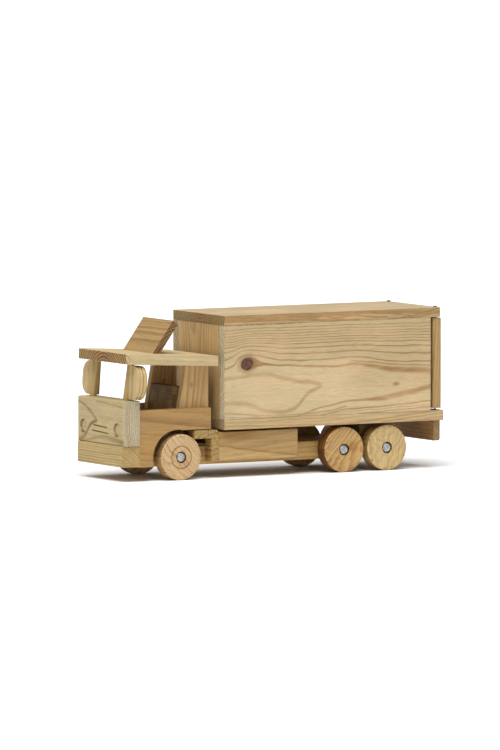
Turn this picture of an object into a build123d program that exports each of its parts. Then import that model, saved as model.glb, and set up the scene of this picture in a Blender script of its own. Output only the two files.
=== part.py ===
from build123d import *
import math
import os

# Wooden push along box truck, in mm. +Z is up, the cab faces -Y, the truck's left side is +X.
# Lengths along the truck are stations, measured rearwards from the back of the cab front panel.
# The origin is the ground point under the middle of the truck's length.

# ---- driving dimensions -------------------------------------------------------------------
BUMPER_DEPTH = 26.0
FLOOR_END = 439.0
ORIGIN_STATION = (FLOOR_END - BUMPER_DEPTH) / 2

BOARD = 12.5
EASE = 0.8

WHEEL_RADIUS = 29.0
WHEEL_WIDTH = 18.5
WHEEL_FACE_X = 61.5
WHEEL_EDGE = 2.2
HUB_BORE_RADIUS = 3.05
HUB_RECESS_RADIUS = 7.4
HUB_RECESS_DEPTH = 5.0
RING_RADIUS = 14.0
RING_WIDTH = 1.8
RING_DEPTH = 1.0
AXLE_STATIONS = {"front": 58.0, "mid": 295.0, "rear": 358.0}
AXLE_RADIUS = 3.0
AXLE_BORE_RADIUS = 3.05
AXLE_END_X = 59.6
CAP_RADIUS = 6.2
CAP_INNER_X = 57.0
CAP_OUTER_X = 61.3

CHASSIS_HALF_WIDTH = 42.0
CHASSIS_Z = (17.0, 40.0)
CHASSIS_END = 390.0
SPACER_HALF_WIDTH = 32.0
SPACERS = {"front": (124.0, 222.0), "rear": (334.0, 386.0)}

BOX_HALF_WIDTH = 65.5
BOX_FRONT = 118.0
FLOOR_Z = (61.0, 74.0)
SIDE_TOP = 192.5
SIDE_END = 420.0
ROOF_TOP = 205.0
ROOF_END = 434.0

DOOR_STATIONS = (424.5, 437.0)
DOOR_Z = (76.6, 191.2)
DOOR_OUTER_X = 64.0
DOOR_MIDDLE_GAP = 1.2
DOOR_HINGE_ROUNDING = 3.0
NAIL_RADIUS = 1.25
NAIL_BORE_RADIUS = 1.30
NAIL_HEAD_RADIUS = 2.5
NAIL_HEAD_HEIGHT = 1.4
NAIL_SINK_RADIUS = 2.8
NAIL_SINK_DEPTH = 1.6
NAIL_LENGTH = 42.0

CAB_HALF_WIDTH = 57.0
PANEL_HALF_WIDTH = 58.5
PANEL_DEPTH = 24.4
PANEL_Z = (45.3, 102.0)
BUMPER_Z = (18.8, 45.3)
FRONT_ROUNDING = 2.6
LAMP_X = 43.0
LAMP_Z = 65.0
LAMP_RADIUS = 8.5
LAMP_DEPTH = 2.0
GRILLE_SLITS = ((67.3, 36.0), (60.2, 42.0))
GRILLE_WIDTH = 1.7
GRILLE_DEPTH = 3.0
GRILLE_TILT = 2.4

CAB_SIDE_END = 103.4
CAB_SIDE_Z = (18.0, 89.5)
ARCH_STATION = 55.5
ARCH_Z = 27.5
ARCH_RADIUS = 36.0
ARCH_REAR_Z = 62.8

CAB_ROOF_HALF_WIDTH = 65.2
CAB_ROOF_STATIONS = (-21.2, 109.6)
CAB_ROOF_FRONT_TOP = 161.5
CAB_ROOF_PITCH = 2.9
CAB_ROOF_THICKNESS = 12.9
CAB_ROOF_CORNER = 4.2

A_POST_X = (38.0, 47.5)
A_POST_STATION = -13.2
A_POST_DEPTH = 5.2
A_POST_LEAN = 8.5
MIRROR_X = (47.5, 72.2)
MIRROR_Z = (103.2, 146.0)
MIRROR_STATION = -11.0
MIRROR_THICKNESS = 12.0
MIRROR_CORNER = 16.5
MIRROR_LEAN = 4.0

B_POST_X = (36.5, 44.5)
B_POST_FOOT_Z = 64.0
B_POST_FOOT = 60.1
B_POST_REAR = 106.6
B_POST_LEAN = 10.1
SEAT_TOP = 115.0
SEAT_THICKNESS = 12.0

DEFLECTOR_HALF_WIDTH = 38.0
DEFLECTOR_STATION = 30.0
DEFLECTOR_LENGTH = 50.5
DEFLECTOR_THICKNESS = 8.8
DEFLECTOR_LEAN = 35.8

SKIRT_OUTER_X = 58.2
MUDGUARD_STATIONS = (79.0, 114.0)
MUDGUARD_Z = (21.5, 61.5)
MUDGUARD_ARM = 10.5
TANK_STATIONS = (114.2, 229.0)
TANK_Z = (22.0, 58.0)

CROSSBOARD_HALF_WIDTH = 60.5
CROSSBOARD_STATIONS = (427.5, 437.0)
CROSSBOARD_BOTTOM = 34.5


# ---- helpers ------------------------------------------------------------------------------
def y_at(station):
    return station - ORIGIN_STATION


def block(xs, stations, zs):
    """A plain squared block between two X values, two stations and two heights."""
    size = (xs[1] - xs[0], stations[1] - stations[0], zs[1] - zs[0])
    middle = (sum(xs) / 2, y_at(sum(stations) / 2), sum(zs) / 2)
    return Pos(*middle) * Box(*size)


def eased(solid, radius=EASE):
    """Round every edge of a squared block by the sandpaper radius."""
    return fillet(solid.edges(), radius)


def side_profile(points, xs):
    """A prism between two X values whose outline is given as (station, height) points."""
    outline = [(y_at(station), height) for station, height in points]
    face = make_face(Polyline(*outline, close=True))
    prism = extrude(Plane.YZ * face, amount=xs[1] - xs[0])
    return Pos(xs[0], 0, 0) * prism


def rod_x(radius, xs, station, height):
    """A round bar along X."""
    bar = Cylinder(radius, xs[1] - xs[0], rotation=(0, 90, 0))
    return Pos(sum(xs) / 2, y_at(station), height) * bar


def rod_z(radius, x, station, zs):
    """A round bar along Z."""
    return Pos(x, y_at(station), sum(zs) / 2) * Cylinder(radius, zs[1] - zs[0])


def other_side(solid):
    """The same piece for the truck's right side."""
    return mirror(solid, about=Plane.YZ)


def cab_roof_top(station):
    drop = math.tan(math.radians(CAB_ROOF_PITCH)) * (station - CAB_ROOF_STATIONS[0])
    return CAB_ROOF_FRONT_TOP - drop


def cab_roof_under(station):
    return cab_roof_top(station) - CAB_ROOF_THICKNESS / math.cos(math.radians(CAB_ROOF_PITCH))


# ---- chassis and running gear ---------------------------------------------------------------
def make_chassis():
    plank = block((-CHASSIS_HALF_WIDTH, CHASSIS_HALF_WIDTH), (0, CHASSIS_END), CHASSIS_Z)
    plank = eased(plank)
    for station in AXLE_STATIONS.values():
        reach = CHASSIS_HALF_WIDTH + 1
        plank -= rod_x(AXLE_BORE_RADIUS, (-reach, reach), station, WHEEL_RADIUS)
    return plank


def make_spacer(stations):
    return block((-SPACER_HALF_WIDTH, SPACER_HALF_WIDTH), stations, (CHASSIS_Z[1], FLOOR_Z[0]))


def make_axle(station):
    rod = rod_x(AXLE_RADIUS, (-AXLE_END_X, AXLE_END_X), station, WHEEL_RADIUS)
    return chamfer(rod.edges(), 0.4)


def make_cap(station):
    """Push-on steel cap, domed outside, with a blind socket for the axle end."""
    cap = rod_x(CAP_RADIUS, (CAP_INNER_X, CAP_OUTER_X), station, WHEEL_RADIUS)
    cap = fillet(cap.edges().sort_by(Axis.X)[-1], 2.6)
    cap = chamfer(cap.edges().sort_by(Axis.X)[0], 0.3)
    return cap - rod_x(AXLE_BORE_RADIUS, (CAP_INNER_X - 1, AXLE_END_X + 0.1), station, WHEEL_RADIUS)


def make_wheel(station, turned_ring):
    """Turned wooden wheel with rounded rims and a recess for the axle cap."""
    inner_x = WHEEL_FACE_X - WHEEL_WIDTH
    wheel = rod_x(WHEEL_RADIUS, (inner_x, WHEEL_FACE_X), station, WHEEL_RADIUS)
    wheel = fillet(wheel.edges().filter_by(GeomType.CIRCLE), WHEEL_EDGE)
    recess_xs = (WHEEL_FACE_X - HUB_RECESS_DEPTH, WHEEL_FACE_X + 1)
    wheel -= rod_x(HUB_RECESS_RADIUS, recess_xs, station, WHEEL_RADIUS)
    wheel -= rod_x(HUB_BORE_RADIUS, (inner_x - 1, WHEEL_FACE_X), station, WHEEL_RADIUS)
    if turned_ring:
        ring_xs = (WHEEL_FACE_X - RING_DEPTH, WHEEL_FACE_X + 1)
        ring = rod_x(RING_RADIUS + RING_WIDTH / 2, ring_xs, station, WHEEL_RADIUS)
        ring -= rod_x(RING_RADIUS - RING_WIDTH / 2, ring_xs, station, WHEEL_RADIUS)
        wheel -= ring
    return wheel


def make_tank():
    return eased(block((CHASSIS_HALF_WIDTH, SKIRT_OUTER_X), TANK_STATIONS, TANK_Z), 1.0)


def make_mudguard():
    """L-shaped guard, its upper arm over the front wheel and its lower arm behind it."""
    front, rear = MUDGUARD_STATIONS
    low, high = MUDGUARD_Z
    points = [
        (front, high - MUDGUARD_ARM),
        (rear - MUDGUARD_ARM, high - MUDGUARD_ARM),
        (rear - MUDGUARD_ARM, low),
        (rear, low),
        (rear, high),
        (front, high),
    ]
    guard = side_profile(points, (CHASSIS_HALF_WIDTH, SKIRT_OUTER_X))
    along_x = guard.edges().filter_by(Axis.X)
    top_rear = along_x.sort_by(lambda edge: edge.center().Y + edge.center().Z)[-1]
    return fillet(top_rear, 5.0)


def make_crossboard():
    xs = (-CROSSBOARD_HALF_WIDTH, CROSSBOARD_HALF_WIDTH)
    board = block(xs, CROSSBOARD_STATIONS, (CROSSBOARD_BOTTOM, FLOOR_Z[0]))
    lower_corners = board.edges().filter_by(Axis.Y).sort_by(Axis.Z)[:2]
    board = fillet(lower_corners, 3.5)
    return fillet(board.faces().sort_by(Axis.Z)[0].edges().filter_by(Axis.X), 1.5)


# ---- cargo box ------------------------------------------------------------------------------
def hinge_x():
    return DOOR_OUTER_X - (DOOR_STATIONS[1] - DOOR_STATIONS[0]) / 2


def hinge_station():
    return sum(DOOR_STATIONS) / 2


def nail_bores(zs):
    bores = Part()
    for x in (-hinge_x(), hinge_x()):
        bores += rod_z(NAIL_BORE_RADIUS, x, hinge_station(), zs)
    return bores


def make_floor():
    board = block((-BOX_HALF_WIDTH, BOX_HALF_WIDTH), (BOX_FRONT, FLOOR_END), FLOOR_Z)
    board = eased(board) - nail_bores((FLOOR_Z[0] - 1, FLOOR_Z[1] + 1))
    for x in (-hinge_x(), hinge_x()):
        sink_zs = (FLOOR_Z[0] - 1, FLOOR_Z[0] + NAIL_SINK_DEPTH)
        board -= rod_z(NAIL_SINK_RADIUS, x, hinge_station(), sink_zs)
    return board


def make_roof():
    board = block((-BOX_HALF_WIDTH, BOX_HALF_WIDTH), (BOX_FRONT, ROOF_END), (SIDE_TOP, ROOF_TOP))
    return eased(board) - nail_bores((SIDE_TOP - 1, ROOF_TOP + 1))


def make_box_side():
    xs = (BOX_HALF_WIDTH - BOARD, BOX_HALF_WIDTH)
    return eased(block(xs, (BOX_FRONT, SIDE_END), (FLOOR_Z[1], SIDE_TOP)), 0.6)


def make_box_front():
    half = BOX_HALF_WIDTH - BOARD
    return block((-half, half), (BOX_FRONT + 0.4, BOX_FRONT + BOARD), (FLOOR_Z[1], SIDE_TOP))


def make_door():
    """Slab door that turns on two nails set in its hinge-side edge."""
    slab = block((DOOR_MIDDLE_GAP / 2, DOOR_OUTER_X), DOOR_STATIONS, DOOR_Z)
    hinge_corners = slab.edges().filter_by(Axis.Z).sort_by(Axis.X)[-2:]
    slab = fillet(hinge_corners, DOOR_HINGE_ROUNDING)
    slab = fillet(slab.faces().sort_by(Axis.X)[0].edges(), 1.0)
    depth = NAIL_LENGTH - BOARD
    for low, high in ((DOOR_Z[0] - 1, DOOR_Z[0] + depth), (DOOR_Z[1] - depth, DOOR_Z[1] + 1)):
        slab -= rod_z(NAIL_BORE_RADIUS, hinge_x(), hinge_station(), (low, high))
    return slab


def make_nail(x, driven_up):
    """Flat-headed wire nail, driven down through the roof or up from a sink in the floor."""
    start = FLOOR_Z[0] + NAIL_SINK_DEPTH if driven_up else ROOF_TOP
    step = 1 if driven_up else -1
    shank_zs = sorted((start - step * 0.2, start + step * (NAIL_LENGTH - 3)))
    head_zs = sorted((start, start - step * NAIL_HEAD_HEIGHT))
    shank = rod_z(NAIL_RADIUS, x, hinge_station(), shank_zs)
    head = rod_z(NAIL_HEAD_RADIUS, x, hinge_station(), head_zs)
    return shank + head


# ---- cab ------------------------------------------------------------------------------------
def make_front_panel():
    xs = (-PANEL_HALF_WIDTH, PANEL_HALF_WIDTH)
    panel = block(xs, (-PANEL_DEPTH, 0), PANEL_Z)
    panel = fillet(panel.faces().sort_by(Axis.Y)[0].edges(), FRONT_ROUNDING)
    for x in (-LAMP_X, LAMP_X):
        lamp = Cylinder(LAMP_RADIUS, 2 * LAMP_DEPTH, rotation=(90, 0, 0))
        panel -= Pos(x, y_at(-PANEL_DEPTH), LAMP_Z) * lamp
    for height, length in GRILLE_SLITS:
        slit = Box(length, 2 * GRILLE_DEPTH, GRILLE_WIDTH, rotation=(0, GRILLE_TILT, 0))
        panel -= Pos(0, y_at(-PANEL_DEPTH), height) * slit
    return panel


def make_bumper():
    xs = (-CAB_HALF_WIDTH, CAB_HALF_WIDTH)
    bumper = block(xs, (-BUMPER_DEPTH, 0), BUMPER_Z)
    return fillet(bumper.faces().sort_by(Axis.Y)[0].edges(), FRONT_ROUNDING)


def make_cab_side():
    xs = (CAB_HALF_WIDTH - BOARD, CAB_HALF_WIDTH)
    panel = block(xs, (0, CAB_SIDE_END), CAB_SIDE_Z)
    panel -= rod_x(ARCH_RADIUS, (xs[0] - 1, xs[1] + 1), ARCH_STATION, ARCH_Z)
    behind = (ARCH_STATION, CAB_SIDE_END + 1)
    panel -= block((xs[0] - 1, xs[1] + 1), behind, (CAB_SIDE_Z[0] - 1, ARCH_REAR_Z))
    return panel


def make_cab_roof():
    """Pitched roof board with its two front corners cut off."""
    front, rear = CAB_ROOF_STATIONS
    points = [
        (front, cab_roof_top(front)),
        (rear, cab_roof_top(rear)),
        (rear, cab_roof_under(rear)),
        (front, cab_roof_under(front)),
    ]
    board = side_profile(points, (-CAB_ROOF_HALF_WIDTH, CAB_ROOF_HALF_WIDTH))
    front_corners = board.edges().filter_by(Axis.Z).sort_by(Axis.Y)[:2]
    board = chamfer(front_corners, CAB_ROOF_CORNER)
    return eased(board, 0.7)


def make_deflector():
    lean = math.radians(DEFLECTOR_LEAN)
    up_face = (math.sin(lean), math.cos(lean))
    across = (math.cos(lean), -math.sin(lean))
    foot = (DEFLECTOR_STATION, cab_roof_top(DEFLECTOR_STATION))
    top_front = (foot[0] + DEFLECTOR_LENGTH * up_face[0], foot[1] + DEFLECTOR_LENGTH * up_face[1])
    top_rear = (
        top_front[0] + DEFLECTOR_THICKNESS * across[0],
        top_front[1] + DEFLECTOR_THICKNESS * across[1],
    )
    heel_station = DEFLECTOR_STATION + DEFLECTOR_THICKNESS / math.cos(lean)
    heel_shift = (cab_roof_top(DEFLECTOR_STATION) - cab_roof_top(heel_station)) * math.tan(lean)
    heel = (heel_station - heel_shift, cab_roof_top(heel_station - heel_shift))
    xs = (-DEFLECTOR_HALF_WIDTH, DEFLECTOR_HALF_WIDTH)
    board = side_profile([foot, top_front, top_rear, heel], xs)
    return fillet(board.faces().sort_by(Axis.Z)[-1].edges(), 0.8)


def make_a_post():
    lean = math.tan(math.radians(A_POST_LEAN))
    rise = cab_roof_under(A_POST_STATION) - PANEL_Z[1]
    front_top = A_POST_STATION + lean * rise
    rear_top = front_top + A_POST_DEPTH
    points = [
        (A_POST_STATION, PANEL_Z[1]),
        (A_POST_STATION + A_POST_DEPTH, PANEL_Z[1]),
        (rear_top, cab_roof_under(rear_top)),
        (front_top, cab_roof_under(front_top)),
    ]
    return side_profile(points, A_POST_X)


def make_mirror():
    """D-shaped board that stands out sideways from the front post."""
    width = MIRROR_X[1] - MIRROR_X[0]
    height = MIRROR_Z[1] - MIRROR_Z[0]
    board = Box(width, MIRROR_THICKNESS, height)
    outer = board.edges().filter_by(Axis.Y).sort_by(Axis.X)[-2:]
    board = fillet(outer, MIRROR_CORNER)
    board = Rot(-MIRROR_LEAN, 0, 0) * board
    shift = math.tan(math.radians(MIRROR_LEAN)) * height / 2
    middle_station = MIRROR_STATION + MIRROR_THICKNESS / 2 + shift
    return Pos(sum(MIRROR_X) / 2, y_at(middle_station), sum(MIRROR_Z) / 2) * board


def b_post_front(height):
    return B_POST_FOOT + math.tan(math.radians(B_POST_LEAN)) * (height - B_POST_FOOT_Z)


def make_b_post():
    front_top = b_post_front(cab_roof_under(b_post_front(cab_roof_under(B_POST_FOOT))))
    points = [
        (B_POST_FOOT, B_POST_FOOT_Z),
        (B_POST_REAR, B_POST_FOOT_Z),
        (B_POST_REAR, cab_roof_under(B_POST_REAR)),
        (front_top, cab_roof_under(front_top)),
    ]
    return side_profile(points, B_POST_X)


def make_seat_board():
    foot = CHASSIS_Z[1]
    setback = 0.6
    points = [
        (b_post_front(foot) + setback, foot),
        (b_post_front(foot) + setback + SEAT_THICKNESS, foot),
        (b_post_front(SEAT_TOP) + setback + SEAT_THICKNESS, SEAT_TOP),
        (b_post_front(SEAT_TOP) + setback, SEAT_TOP),
    ]
    return side_profile(points, (-B_POST_X[0], B_POST_X[0]))


# ---- the whole truck --------------------------------------------------------------------------
def make_nodes():
    nodes = {
        "chassis": make_chassis(),
        "floor_board": make_floor(),
        "box_roof": make_roof(),
        "box_front_wall": make_box_front(),
        "rear_crossboard": make_crossboard(),
        "front_panel": make_front_panel(),
        "bumper": make_bumper(),
        "cab_roof": make_cab_roof(),
        "wind_deflector": make_deflector(),
        "seat_board": make_seat_board(),
    }
    pairs = {
        "box_side": make_box_side(),
        "cab_side": make_cab_side(),
        "a_post": make_a_post(),
        "wing_mirror": make_mirror(),
        "b_post": make_b_post(),
        "mudguard": make_mudguard(),
        "tank": make_tank(),
        "door": make_door(),
    }
    for name, solid in pairs.items():
        nodes[name + "_left"] = solid
        nodes[name + "_right"] = other_side(solid)
    for name, stations in SPACERS.items():
        nodes["spacer_" + name] = make_spacer(stations)
    caps = []
    for name, station in AXLE_STATIONS.items():
        nodes["axle_" + name] = make_axle(station)
        wheel = make_wheel(station, turned_ring=(name == "front"))
        nodes["wheel_" + name + "_left"] = wheel
        nodes["wheel_" + name + "_right"] = other_side(wheel)
        caps += [make_cap(station), other_side(make_cap(station))]
    nodes["axle_caps"] = Compound(caps)
    nails = [make_nail(x, up) for x in (-hinge_x(), hinge_x()) for up in (False, True)]
    nodes["hinge_nails"] = Compound(nails)
    return nodes


os.makedirs("parts", exist_ok=True)
for node, shape in make_nodes().items():
    export_step(shape, "parts/" + node + ".step")
    box = shape.bounding_box()
    print(node, [round(v, 1) for v in (*box.min, *box.max)], round(shape.volume / 1000, 1), "cm3")
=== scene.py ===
import math

import bpy
from mathutils import Matrix, Vector


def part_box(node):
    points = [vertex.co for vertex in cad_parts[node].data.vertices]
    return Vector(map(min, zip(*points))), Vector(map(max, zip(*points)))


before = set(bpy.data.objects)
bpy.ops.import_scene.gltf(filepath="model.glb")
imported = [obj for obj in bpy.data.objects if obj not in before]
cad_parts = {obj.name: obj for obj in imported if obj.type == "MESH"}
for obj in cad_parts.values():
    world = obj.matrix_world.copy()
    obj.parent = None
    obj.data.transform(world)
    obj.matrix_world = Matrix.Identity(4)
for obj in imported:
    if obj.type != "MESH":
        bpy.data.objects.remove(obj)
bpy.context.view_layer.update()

X, Y, Z = Vector((1, 0, 0)), Vector((0, 1, 0)), Vector((0, 0, 1))
MM = 0.001
WHITE = (1, 1, 1, 1)


# ---------------------------------------------------------------- colours, directions, places

def srgb(red, green, blue):
    """A colour given in 0 to 255 screen values, as linear RGBA."""
    def one(c):
        c /= 255
        return c / 12.92 if c <= 0.04045 else ((c + 0.055) / 1.055) ** 2.4
    return (one(red), one(green), one(blue), 1.0)


def scaled(colour, factor):
    """A colour multiplied by one factor, or by a tuple with one factor for each channel."""
    factors = factor if isinstance(factor, tuple) else (factor,) * 3
    return tuple(c * f for c, f in zip(colour, factors)) + (1,)


def leaning(degrees):
    """Upward direction that leans rearwards by this angle from vertical."""
    a = math.radians(degrees)
    return Vector((0, math.sin(a), math.cos(a)))


def leaning_face(degrees):
    """Front face direction of a board whose upward direction is leaning(degrees)."""
    a = math.radians(degrees)
    return Vector((0, -math.cos(a), math.sin(a)))


def middle_and_half(node):
    """Centre of a node's box and half of its size, both in mm."""
    low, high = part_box(node)
    return (Vector(low) + Vector(high)) * 500, (Vector(high) - Vector(low)) * 500


# ---------------------------------------------------------------- node trees

class Tree:
    """One material's node tree, with short calls for the nodes that it needs."""

    def __init__(self, name):
        self.material = bpy.data.materials.new(name)
        self.material.use_nodes = True
        self.tree = self.material.node_tree
        self.tree.nodes.clear()

    def node(self, kind, inputs=None, **properties):
        made = self.tree.nodes.new(kind)
        for key, value in properties.items():
            setattr(made, key, value)
        for key, value in (inputs or {}).items():
            self.put(made.inputs[key], value)
        return made

    def put(self, socket, value):
        if isinstance(value, bpy.types.NodeSocket):
            self.tree.links.new(value, socket)
        else:
            socket.default_value = value

    def math(self, operation, a, b=0.0, clamp=False):
        made = self.node("ShaderNodeMath", {0: a, 1: b}, operation=operation, use_clamp=clamp)
        return made.outputs[0]

    def add(self, a, b): return self.math("ADD", a, b)
    def sub(self, a, b): return self.math("SUBTRACT", a, b)
    def mul(self, a, b): return self.math("MULTIPLY", a, b)
    def div(self, a, b): return self.math("DIVIDE", a, b)
    def absolute(self, a): return self.math("ABSOLUTE", a)

    def chain(self, operation, values):
        out = values[0]
        for value in values[1:]:
            out = self.math(operation, out, value)
        return out

    def total(self, *values): return self.chain("ADD", values)
    def product(self, *values): return self.chain("MULTIPLY", values)
    def highest(self, *values): return self.chain("MAXIMUM", values)

    def length(self, a, b):
        """Distance of the point (a, b) from zero."""
        return self.math("SQRT", self.add(self.mul(a, a), self.mul(b, b)))

    def gauss(self, value, centre, width):
        """Bell curve of value about centre."""
        d = self.div(self.sub(value, centre), width)
        return self.math("EXPONENT", self.mul(self.mul(d, d), -1.0))

    def step(self, value, low, high, to_low=0.0, to_high=1.0):
        """Smooth rise from to_low at low to to_high at high. low may be above high."""
        if low > high:
            low, high, to_low, to_high = high, low, to_high, to_low
        made = self.node("ShaderNodeMapRange", {0: value, 1: low, 2: high, 3: to_low, 4: to_high},
                         interpolation_type="SMOOTHSTEP")
        return made.outputs[0]

    def combine(self, a, b, c):
        return self.node("ShaderNodeCombineXYZ", {0: a, 1: b, 2: c}).outputs[0]

    def split(self, vector):
        return self.node("ShaderNodeSeparateXYZ", {0: vector}).outputs[:3]

    def dot(self, a, b):
        made = self.node("ShaderNodeVectorMath", {0: a, 1: b}, operation="DOT_PRODUCT")
        return made.outputs["Value"]

    def noise(self, vector, detail=2.0, roughness=0.5):
        made = self.node("ShaderNodeTexNoise",
                         {"Vector": vector, "Scale": 1.0, "Detail": detail, "Roughness": roughness,
                          "Distortion": 0.0}, noise_dimensions="3D")
        return made.outputs[0]

    def wander(self, vector, detail, amount):
        """Noise about zero, at most half of amount to each side."""
        return self.mul(self.sub(self.noise(vector, detail), 0.5), amount)

    def random(self, value):
        return self.node("ShaderNodeTexWhiteNoise", {"W": value},
                         noise_dimensions="1D").outputs[0]

    def ramp(self, value, stops):
        """Grey level at each (position, level), joined by straight lines."""
        made = self.node("ShaderNodeValToRGB", {0: value})
        points = made.color_ramp.elements
        while len(points) < len(stops):
            points.new(0.5)
        for point, (at, level) in zip(points, stops):
            point.position = at
            point.color = (level, level, level, 1)
        return made.outputs[0]

    def curve(self, value, points, low, high):
        """A smooth curve through points (value, result). Results run from low to high."""
        first, last = points[0][0], points[-1][0]
        share = self.math("DIVIDE", self.sub(value, first), last - first, clamp=True)
        made = self.node("ShaderNodeFloatCurve", {"Value": share})
        line = made.mapping.curves[0]
        while len(line.points) < len(points):
            line.points.new(0.5, 0.5)
        for point, (at, result) in zip(line.points, points):
            point.location = ((at - first) / (last - first), (result - low) / (high - low))
        made.mapping.update()
        return self.add(self.mul(made.outputs[0], high - low), low)

    def mix(self, factor, a, b, blend="MIX"):
        made = self.node("ShaderNodeMix", data_type="RGBA", blend_type=blend)
        for key, value in ((0, factor), (6, a), (7, b)):
            self.put(made.inputs[key], value)
        return made.outputs[2]

    def multiply(self, colour, other):
        return self.mix(1.0, colour, other, "MULTIPLY")

    def finish(self, colour, roughness, height, bump_strength, bump_distance, **constants):
        shader = self.node("ShaderNodeBsdfPrincipled",
                           {"Base Color": colour, "Roughness": roughness})
        for key, value in constants.items():
            shader.inputs[key.replace("_", " ")].default_value = value
        bump = self.node("ShaderNodeBump", {"Height": height, "Strength": bump_strength,
                                            "Distance": bump_distance})
        self.put(shader.inputs["Normal"], bump.outputs[0])
        out = self.node("ShaderNodeOutputMaterial")
        self.put(out.inputs[0], shader.outputs[0])
        return self.material


# ---------------------------------------------------------------- wood

KNOT_HEART, KNOT_PALE = (0.050, 0.020, 0.014, 1), (0.16, 0.070, 0.040, 1)
WEAR_FROM, WEAR_TO = 2.2, 0.1          # mm from the edge of a board
TORN_FROM, TORN_TO = 23.6, 26.6        # mm from the middle of a turned wheel
# Between these radii the rim gets a pale ring, a painted highlight on its rounded edge.
RIM_HIGHLIGHT_FROM, RIM_HIGHLIGHT_TO = 27.0, 27.9
LATHE_MARKS = 5.2                      # radians for each mm
END_FROM, END_TO = 0.62, 0.86          # how squarely a face across the grain faces along it


class Grain:
    """A board's own place in mm: s along it, u across it and v through it from its centre."""

    def __init__(self, tree, centre, along, face, seed):
        self.tree, self.seed = tree, seed
        self.along = along.normalized()
        self.face = (face - self.along * self.along.dot(face)).normalized()
        across = self.face.cross(self.along)
        turn = Matrix((self.along, across, self.face)).transposed().to_euler()
        texture = tree.node("ShaderNodeTexCoord")
        place = tree.node("ShaderNodeMapping",
                          {"Vector": texture.outputs["Object"], "Location": Vector(centre) * MM,
                           "Rotation": turn, "Scale": (MM, MM, MM)}, vector_type="TEXTURE")
        self.s, self.u, self.v = tree.split(place.outputs[0])
        self.normal = texture.outputs["Normal"]

    def facing(self, direction):
        """How squarely the surface faces along direction or against it, from 0 to 1."""
        return self.tree.absolute(self.tree.dot(self.normal, direction))

    def noise(self, along, across, detail, roughness=0.5, deeper=0.0, further=0.0):
        """Noise with so many waves per mm, moved through the board and along it."""
        t = self.tree
        place = t.combine(t.add(t.mul(self.s, along), further), t.mul(self.u, across),
                          t.add(t.mul(self.v, across), deeper))
        return t.noise(place, detail, roughness)


def round_knots(grain, knots):
    """Bends the grain round knots (s, u, radius, stretch, darkness). Returns u, mask and halo."""
    t, s, u = grain.tree, grain.s, grain.u
    bent_u, masks, halos = u, [], []
    for knot_s, knot_u, radius, stretch, darkness in knots:
        ds, du = t.sub(s, knot_s), t.sub(u, knot_u)
        jitter = t.wander(t.combine(t.mul(s, 0.09), t.mul(u, 0.09), grain.seed + knot_s),
                          1, radius * 0.45)
        far = t.add(t.length(t.div(ds, stretch), du), jitter)
        push = t.mul(t.gauss(ds, 0.0, radius * 2.6 * stretch), t.gauss(du, 0.0, radius * 1.9))
        bent_u = t.sub(bent_u, t.mul(t.mul(du, push), 0.5))
        masks.append(t.mul(t.step(far, radius, radius * 0.8), darkness))
        halos.append(t.mul(t.step(far, radius * 1.9, radius * 0.9), darkness))
    if not knots:
        return u, None, None
    return bent_u, t.highest(*masks), t.highest(*halos)


def year_rings(grain, u, pith, tilt, spacing, late, warp, wobble, swirl, ring_change):
    """Darkness of the year rings, from 0 in early wood to 1 at the end of late wood."""
    t, s, v, seed = grain.tree, grain.s, grain.v, grain.seed
    slow = t.sub(grain.noise(0.006, 0.018, 1.5, further=seed), 0.5)
    quick = t.sub(grain.noise(0.035, 0.09, 2.0, further=seed * 3.1), 0.5)
    from_pith = t.length(t.sub(t.sub(u, pith[0]), t.mul(s, tilt[0])),
                         t.sub(t.sub(v, pith[1]), t.mul(s, tilt[1])))
    radius = t.total(from_pith, t.mul(slow, warp * 2), t.mul(quick, wobble * 2))
    if swirl:
        place = t.combine(t.mul(s, 0.045), t.mul(grain.u, 0.06), seed * 1.7)
        radius = t.add(radius, t.wander(place, 2.0, swirl * 2))
    rings = t.div(radius, spacing)
    uneven = t.wander(t.combine(t.mul(rings, 0.41), seed, 0.5), 0, ring_change * 2)
    rings = t.add(rings, uneven)
    year = t.random(t.add(t.math("FLOOR", rings), seed * 7.0))
    early = 1.0 - late
    line = t.ramp(t.math("FRACT", rings),
                  [(0.0, 0.12), (0.035, 0.0), (early * 0.6, 0.04), (early, 0.22),
                   (early + late * 0.55, 0.8), (0.965, 1.0), (1.0, 0.12)])
    return t.mul(line, t.step(year, 0.0, 1.0, 0.5, 1.0))


def worn_edges(grain, half):
    """Handled wood: patches along the board's edges, which are half away from its centre."""
    t = grain.tree
    near = [t.step(t.absolute(c), h - WEAR_FROM, h - WEAR_TO)
            for c, h in zip((grain.s, grain.u, grain.v), half)]
    rim = t.highest(t.mul(near[0], near[1]), t.mul(near[1], near[2]), t.mul(near[0], near[2]))
    patches = t.step(grain.noise(0.05, 0.1, 3.0, deeper=grain.seed), 0.35, 0.65)
    return t.mul(rim, patches)


def turned_marks_and_highlight(grain):
    """Torn notches near the rim of a turned wheel, a pale ring painted as a highlight on its
    rounded outer edge, and fine lathe marks.
    """
    t = grain.tree
    out = t.length(grain.s, grain.u)
    around = t.math("ARCTAN2", grain.u, grain.s)
    notches = t.noise(t.combine(t.mul(around, 13.0), t.mul(out, 0.25), grain.seed), 1.0)
    torn = t.mul(t.step(out, TORN_FROM, TORN_TO), t.step(notches, 0.50, 0.68, 0.0, 0.34))
    painted_rim_highlight = t.step(out, RIM_HIGHLIGHT_FROM, RIM_HIGHLIGHT_TO, 1.0, 1.14)
    return t.mul(t.sub(1.0, torn), painted_rim_highlight), t.math("SINE", t.mul(out, LATHE_MARKS))


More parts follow.
